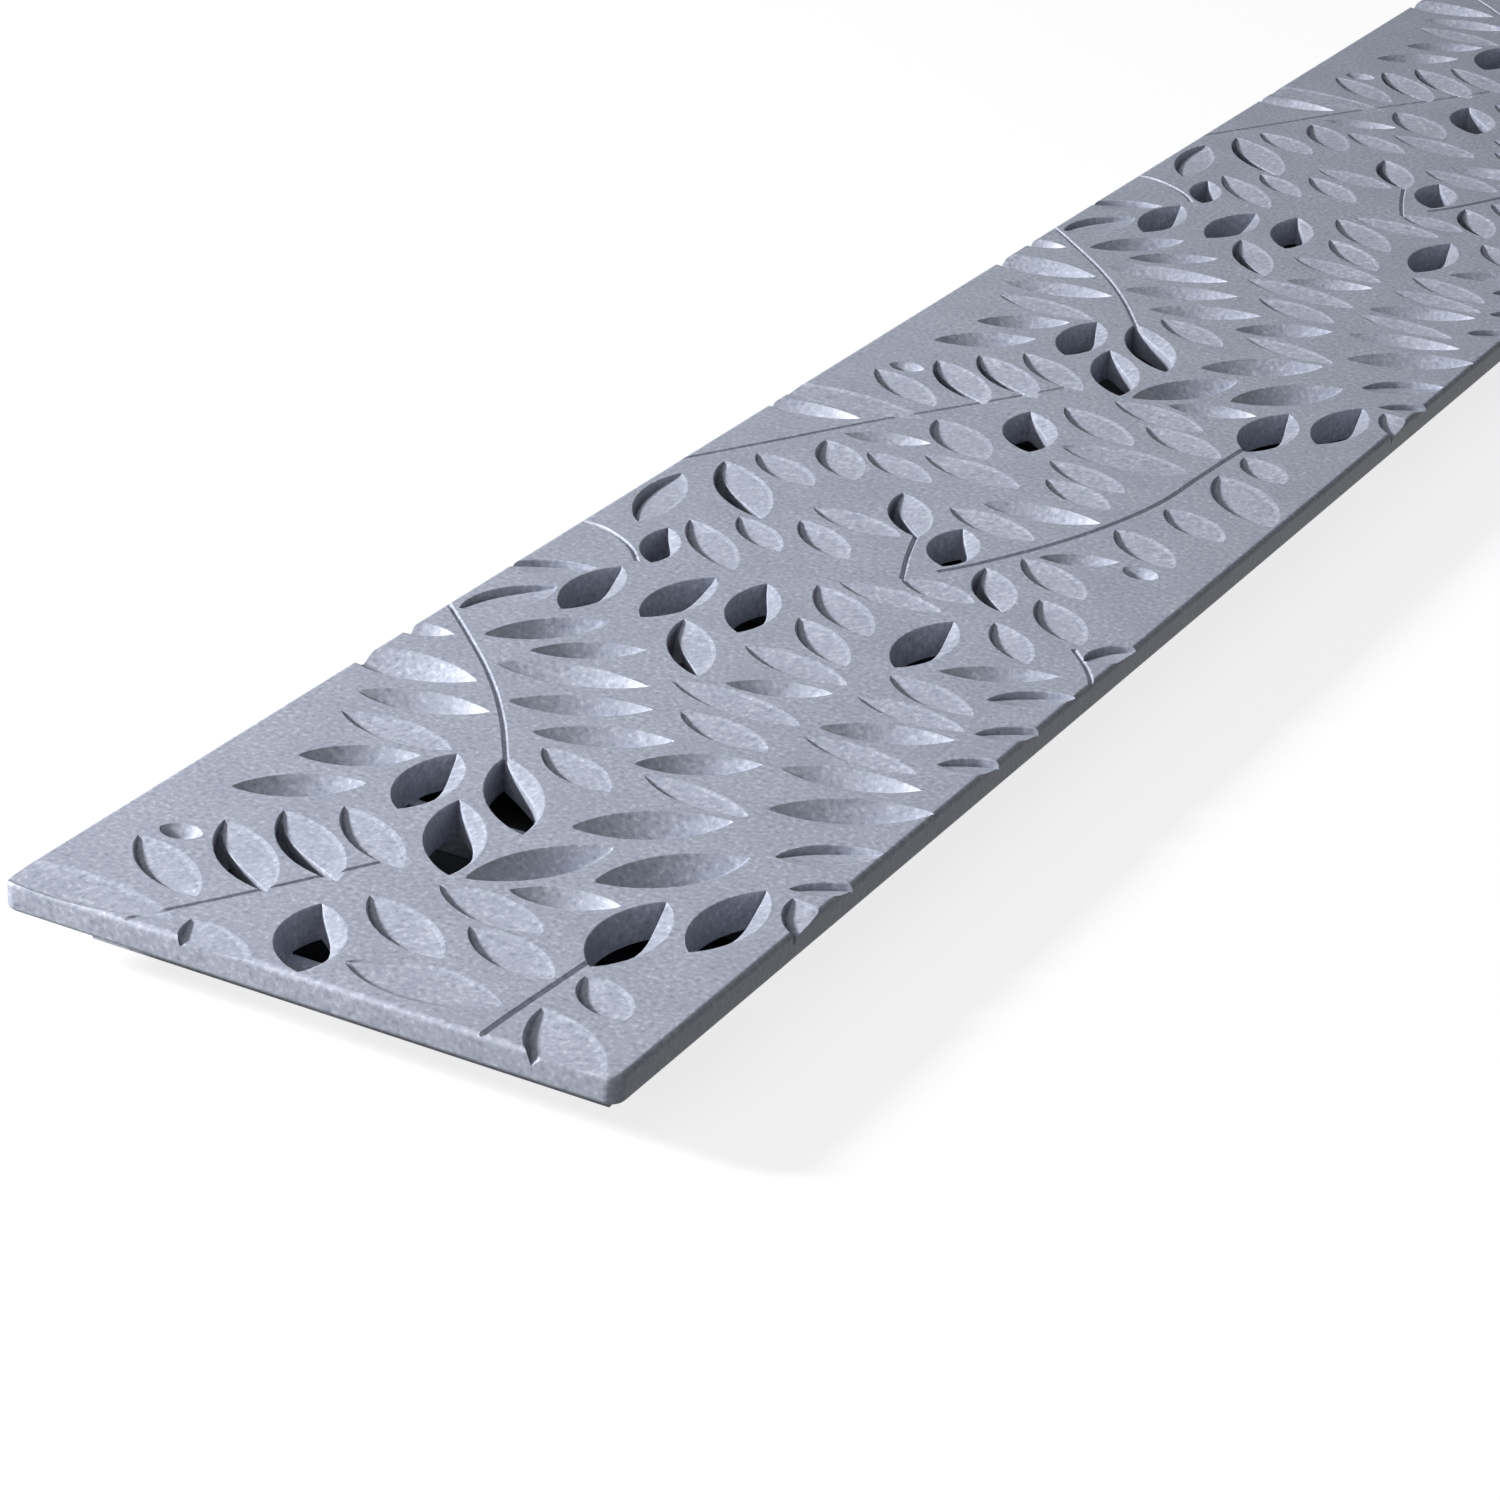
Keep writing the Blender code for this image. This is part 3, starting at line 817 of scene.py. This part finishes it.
    def carving_tree(self) -> bpy.types.NodeTree:
        """Builds the tree that ribs, carves and grooves the plate along its length.

        Returns:
            The tree, with a named input for each shape, number and size.
        """
        tree = bpy.data.node_groups.new("carve_grate", 'GeometryNodeTree')
        weaver = ShapeWeaver(tree)
        shape_names = ("Skirt Block", "Bay", "Leaves", "Stems")
        weaver.sockets('INPUT', "Geometry", "Plate")
        weaver.sockets('INPUT', "Object", *shape_names)
        weaver.sockets('INPUT', "Int", "Bays", "Copies", "Stem Steps", "Groove Sides")
        weaver.sockets('INPUT', "Float", "Bay Pitch", "Pattern Pitch", "Groove Radius")
        weaver.sockets('INPUT', "Material", "Finish")
        weaver.sockets('OUTPUT', "Geometry", "Grate")
        given = weaver.add("NodeGroupInput").outputs
        shape = {}
        for name in shape_names:
            source = weaver.add("GeometryNodeObjectInfo", {"Object": given[name]})
            shape[name] = source.outputs["Geometry"]
        bays = weaver.repeated(shape["Bay"], given["Bays"], given["Bay Pitch"], 0.0)
        frame = weaver.combined(ShapeStep.CUT, shape["Skirt Block"], bays)
        body = weaver.combined(ShapeStep.JOIN, given["Plate"], frame)
        pattern = (given["Copies"], given["Pattern Pitch"], -float(self.copies_before))
        leaves = weaver.repeated(shape["Leaves"], *pattern)
        carved = weaver.combined(ShapeStep.CUT, body, leaves)
        ring = weaver.add("GeometryNodeCurvePrimitiveCircle", {
            "Resolution": given["Groove Sides"], "Radius": given["Groove Radius"]}, mode='RADIUS')
        path = weaver.add("GeometryNodeSetSplineResolution", {
            "Geometry": shape["Stems"], "Resolution": given["Stem Steps"]}).outputs[0]
        wire = weaver.add("GeometryNodeCurveToMesh", {
            "Curve": path, "Profile Curve": ring.outputs[0], "Fill Caps": True}).outputs[0]
        wires = weaver.repeated(wire, *pattern)
        grooved = weaver.combined(ShapeStep.CUT, carved, wires)
        whole = weaver.add("GeometryNodeRealizeInstances", {0: grooved}).outputs[0]
        finished = weaver.add("GeometryNodeSetMaterial", {
            "Geometry": whole, "Material": given["Finish"]}).outputs[0]
        weaver.add("NodeGroupOutput", {"Grate": finished})
        return tree

    def build(self, finish: bpy.types.Material) -> bpy.types.Object:
        """Builds the grate as one closed piece.

        Args:
            finish: the material for the whole piece.

        Returns:
            The finished piece, at the origin and unturned.
        """
        bays, bay_pitch = self.bay_spacing()
        copies = math.ceil(self.length / self.pattern_pitch)
        block = self.skirt_block()
        bay = self.bay_tool(bay_pitch)
        leaves = LeafCarver(self.top, self.bay_top - self.fuse_depth).build(self.place)
        stems = self.stem_path()
        plate = self.deck()
        modifier = plate.modifiers.new("carve", 'NODES')
        modifier.node_group = self.carving_tree()
        modifier_inputs(modifier, {
            "Skirt Block": block, "Bay": bay, "Leaves": leaves, "Stems": stems,
            "Bays": bays, "Copies": copies + self.copies_before + self.copies_after,
            "Bay Pitch": bay_pitch, "Pattern Pitch": self.pattern_pitch,
            "Stem Steps": self.stem_steps, "Groove Sides": self.groove_sides,
            "Groove Radius": self.groove_radius, "Finish": finish})
        mesh = plain_mesh(plate, "grate_plate")
        for item in (block, bay, leaves, stems, plate):
            bpy.data.objects.remove(item, do_unlink=True)
        piece = linked_object("grate_plate", mesh)
        mesh.shade_smooth()
        mesh.set_sharp_from_angle(angle=self.smooth_angle)
        weighted = piece.modifiers.new("flat_faces_stay_flat", 'WEIGHTED_NORMAL')
        weighted.keep_sharp = True
        weighted.weight = self.area_weight
        return piece


@dataclass(frozen=True)
class SpeckledPlastic:
    """The finish: blue-grey moulded plastic with a fine speckle and a slight satin sheen.

    Attributes:
        name: the material's name.
        body: the plastic's main colour.
        pale: colour of the pale specks.
        dark: colour of the dark specks and of the faint clouds.
        speckle_scale: how fine the specks are.
        speckle_detail: how much finer detail the specks have.
        speckle_roughness: how strong that detail is.
        pale_range: where in the fine pattern the pale specks begin and are full.
        dark_range: where in the fine pattern the dark specks begin and are full.
        cloud_scale: how fine the clouds are.
        cloud_detail: how much finer detail the clouds have.
        cloud_range: where in the coarse pattern the clouds begin and are full.
        cloud_strength: how far a full cloud goes towards the dark colour.
        roughness: the mean roughness of the surface.
        roughness_spread: how much the roughness varies over the specks.
        grain_height: height of the surface's fine grain.
        grain_strength: how strongly the grain shows.
        refraction: the plastic's index of refraction.
    """

    name: str = PLASTIC_SLOT
    body: Colour = (0.372, 0.400, 0.485, 1.0)
    pale: Colour = (0.570, 0.600, 0.690, 1.0)
    dark: Colour = (0.235, 0.258, 0.330, 1.0)
    speckle_scale: float = 1100.0
    speckle_detail: float = 3.0
    speckle_roughness: float = 0.6
    pale_range: tuple[float, float] = (0.52, 0.72)
    dark_range: tuple[float, float] = (0.46, 0.28)
    cloud_scale: float = 90.0
    cloud_detail: float = 4.0
    cloud_range: tuple[float, float] = (0.35, 0.65)
    cloud_strength: float = 0.22
    roughness: float = 0.46
    roughness_spread: float = 0.18
    grain_height: float = 0.05 * MM
    grain_strength: float = 0.6
    refraction: float = 1.5

    def speckle_group(self) -> bpy.types.NodeTree:
        """Builds the group that mottles a colour and gives the grain of a moulded face.

        Returns:
            The group, which puts out a colour, a roughness and a height.
        """
        tree = bpy.data.node_groups.new("moulded_speckle", 'ShaderNodeTree')
        weaver = NodeWeaver(tree)
        weaver.sockets('INPUT', "Vector", "Vector")
        weaver.sockets('INPUT', "Color", "Body", "Pale", "Dark")
        weaver.sockets('INPUT', "Float", "Speckle Scale", "Cloud Scale", "Roughness")
        weaver.sockets('OUTPUT', "Color", "Color")
        weaver.sockets('OUTPUT', "Float", "Roughness", "Height")
        given = weaver.add("NodeGroupInput").outputs
        fine = weaver.add("ShaderNodeTexNoise", {
            "Vector": given["Vector"], "Scale": given["Speckle Scale"],
            "Detail": self.speckle_detail, "Roughness": self.speckle_roughness}).outputs[0]
        coarse = weaver.add("ShaderNodeTexNoise", {
            "Vector": given["Vector"], "Scale": given["Cloud Scale"],
            "Detail": self.cloud_detail}).outputs[0]
        pale_specks = weaver.mask(fine, *self.pale_range)
        dark_specks = weaver.mask(fine, *self.dark_range)
        clouds = weaver.mask(coarse, *self.cloud_range, self.cloud_strength)
        colour = weaver.mix(pale_specks, given["Body"], given["Pale"])
        colour = weaver.mix(dark_specks, colour, given["Dark"])
        colour = weaver.mix(clouds, colour, given["Dark"])
        change = weaver.math(
            'MULTIPLY_ADD', fine, self.roughness_spread, -self.roughness_spread / 2)
        rough = weaver.math('ADD', change, given["Roughness"])
        weaver.add("NodeGroupOutput", {"Color": colour, "Roughness": rough, "Height": fine})
        return tree

    def build(self) -> bpy.types.Material:
        """Builds the material.

        Returns:
            The material.
        """
        material = bpy.data.materials.new(self.name)
        material.use_nodes = True
        tree = material.node_tree
        tree.nodes.clear()
        weaver = NodeWeaver(tree)
        coordinates = weaver.add("ShaderNodeTexCoord").outputs["Object"]
        speckle = weaver.add("ShaderNodeGroup", {
            "Vector": coordinates, "Body": self.body, "Pale": self.pale, "Dark": self.dark,
            "Speckle Scale": self.speckle_scale, "Cloud Scale": self.cloud_scale,
            "Roughness": self.roughness}, node_tree=self.speckle_group()).outputs
        grain = weaver.add("ShaderNodeBump", {
            "Strength": self.grain_strength, "Distance": self.grain_height,
            "Height": speckle["Height"]}).outputs[0]
        shader = weaver.add("ShaderNodeBsdfPrincipled", {
            "Base Color": speckle["Color"], "Roughness": speckle["Roughness"],
            "Normal": grain, "IOR": self.refraction})
        weaver.add("ShaderNodeOutputMaterial", {"Surface": shader.outputs[0]})
        return material


@dataclass(frozen=True)
class SoftLamp:
    """A square soft lamp that faces the grate's visible part.

    Attributes:
        name: the lamp's name.
        direction: the way from the grate to the lamp.
        distance: how far away it stands.
        size: the length of its side.
        energy: its power in watts.
        target: the point that it faces.
    """

    name: str
    direction: Triple
    distance: float
    size: float
    energy: float
    target: Triple = (0.0, -0.12, 0.0)

    def build(self) -> None:
        """Adds the lamp to the scene."""
        data = bpy.data.lights.new(self.name, 'AREA')
        data.shape = 'SQUARE'
        data.size = self.size
        data.energy = self.energy
        item = linked_object(self.name, data)
        way = Vector(self.direction).normalized()
        item.location = Vector(self.target) + way * self.distance
        item.rotation_euler = way.to_track_quat('Z', 'Y').to_euler()


@dataclass(frozen=True)
class PaleFloor:
    """The floor, which shows white to the camera and keeps the grate's shadow, with painted shade
    under the grate: a dark patch where the skirt encloses the floor.

    Attributes:
        name: the material's name.
        size: length of the floor's side.
        drop: how far it lies below the grate.
        painted_shade_half_width: half the width of the painted shade under the grate, the part that
            the grate's skirt encloses.
        painted_shade_half_length: half the length of that part.
        painted_shade_colour: the dark colour painted on the floor in that part, as painted shade
            beneath the grate.
        seen_colour: its colour outside, as the camera sees it.
        lit_colour: its colour outside, as the grate sees it.
        glow: how strongly it glows outside, for the camera and for mirrored rays.
    """

    name: str = "pale_floor"
    size: float = 12.0
    drop: float = 0.2 * MM
    # Extent and colour of the painted shade: a dark patch on the floor under the grate, standing in
    # for the shade there.
    painted_shade_half_width: float = 44 * MM
    painted_shade_half_length: float = 292 * MM
    painted_shade_colour: Colour = (0.09, 0.095, 0.105, 1.0)
    seen_colour: Colour = (0.24, 0.24, 0.24, 1.0)
    lit_colour: Colour = (0.05, 0.05, 0.05, 1.0)
    glow: float = 0.80

    def material(self) -> bpy.types.Material:
        """Builds the floor's material.

        Returns:
            The material.
        """
        material = bpy.data.materials.new(self.name)
        material.use_nodes = True
        tree = material.node_tree
        tree.nodes.clear()
        weaver = NodeWeaver(tree)
        path = weaver.add("ShaderNodeLightPath").outputs
        seen = weaver.math('MAXIMUM', path["Is Camera Ray"], path["Is Glossy Ray"])
        seen = weaver.math('MAXIMUM', seen, path["Is Transmission Ray"])
        place = weaver.add("ShaderNodeNewGeometry").outputs["Position"]
        axes = weaver.add("ShaderNodeSeparateXYZ", {0: place}).outputs
        beside = weaver.math('GREATER_THAN', weaver.math('ABSOLUTE', axes[0]),
                             self.painted_shade_half_width)
        beyond = weaver.math('GREATER_THAN', weaver.math('ABSOLUTE', axes[1]),
                             self.painted_shade_half_length)
        outside = weaver.math('MAXIMUM', beside, beyond)
        open_floor = weaver.mix(path["Is Camera Ray"], self.lit_colour, self.seen_colour)
        # Under the grate the floor takes a dark colour: painted shade, so the openings show dark as
        # if in the grate's shade.
        colour = weaver.mix(outside, self.painted_shade_colour, open_floor)
        plain = weaver.add("ShaderNodeBsdfDiffuse", {"Color": colour}).outputs[0]
        glow = weaver.add("ShaderNodeEmission", {
            "Color": WHITE,
            "Strength": weaver.math('MULTIPLY', weaver.math('MULTIPLY', seen, outside), self.glow)})
        both = weaver.add("ShaderNodeAddShader", {0: plain, 1: glow.outputs[0]}).outputs[0]
        weaver.add("ShaderNodeOutputMaterial", {"Surface": both})
        return material

    def build(self) -> bpy.types.Object:
        """Lays the floor.

        Returns:
            The floor, face up.
        """
        bm = bmesh.new()
        bmesh.ops.create_grid(bm, x_segments=1, y_segments=1, size=self.size / 2)
        item = object_from_bmesh("studio_floor", bm)
        if item.data.polygons[0].normal.z < 0:
            item.data.flip_normals()
        item.location.z = -self.drop
        item.data.materials.append(self.material())
        return item


@dataclass(frozen=True)
class Studio:
    """The plain pale floor, the soft light and the camera of the photograph.

    Attributes:
        camera_place: where the camera stands.
        camera_right: the way to the right in its picture.
        camera_up: the way up in its picture.
        camera_back: the way from the grate to the camera.
        lens: the camera's focal length in millimetres.
        sensor: the width of its sensor in millimetres.
        clip_range: the nearest and the farthest distance that it sees.
        world_level: how bright the world is to the grate.
        backdrop_level: how bright the world is to the camera.
        floor: the floor.
        lamps: the lamps.
    """

    camera_place: Triple = (0.29975872, -0.75611594, 0.31074078)
    camera_right: Triple = (0.87731244, 0.47685407, 0.05415787)
    camera_up: Triple = (-0.24984229, 0.35745426, 0.89989182)
    camera_back: Triple = (0.40975812, -0.80301721, 0.43273738)
    lens: float = 104.1355
    sensor: float = 36.0
    clip_range: tuple[float, float] = (0.01, 100.0)
    world_level: float = 0.17
    backdrop_level: float = 1.0
    floor: PaleFloor = PaleFloor()
    lamps: tuple[SoftLamp, ...] = (
        SoftLamp("key_lamp", (-0.79, -0.48, 0.395), distance=1.3, size=0.17, energy=29.0),
        SoftLamp("fill_lamp", (-0.15, -0.80, 0.60), distance=1.8, size=1.4, energy=9.0),
    )

    def camera(self) -> None:
        """Places the camera at the photograph's viewpoint."""
        data = bpy.data.cameras.new("photo_camera")
        data.sensor_fit = 'HORIZONTAL'
        data.sensor_width = self.sensor
        data.lens = self.lens
        data.clip_start, data.clip_end = self.clip_range
        item = linked_object("photo_camera", data)
        turn = Matrix((self.camera_right, self.camera_up, self.camera_back)).transposed()
        item.matrix_world = Matrix.Translation(self.camera_place) @ turn.to_4x4()
        bpy.context.scene.camera = item

    def world(self) -> None:
        """Sets a dim even world that shows white to the camera."""
        world = bpy.data.worlds.new("studio_world")
        world.use_nodes = True
        bpy.context.scene.world = world
        tree = world.node_tree
        tree.nodes.clear()
        weaver = NodeWeaver(tree)
        seen = weaver.add("ShaderNodeLightPath").outputs["Is Camera Ray"]
        level = weaver.add("ShaderNodeMapRange", {
            "Value": seen, "To Min": self.world_level, "To Max": self.backdrop_level}).outputs[0]
        background = weaver.add("ShaderNodeBackground", {"Color": WHITE, "Strength": level})
        weaver.add("ShaderNodeOutputWorld", {0: background.outputs[0]})

    def build(self) -> None:
        """Builds the whole studio."""
        self.camera()
        for lamp in self.lamps:
            lamp.build()
        self.world()
        self.floor.build()
        bpy.context.scene.view_settings.view_transform = 'Standard'


def main() -> None:
    """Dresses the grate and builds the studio."""
    logging.basicConfig(level=logging.INFO, format="%(name)s: %(message)s")
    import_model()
    piece = CarvedGrate().build(SpeckledPlastic().build())
    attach(piece, ROOT_BODY)
    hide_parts(GRATE_NODE)
    triangles = sum(len(face.vertices) - 2 for face in piece.data.polygons)
    LOG.info("%s: %d triangles", piece.name, triangles)
    Studio().build()


if __name__ == "__main__":
    main()
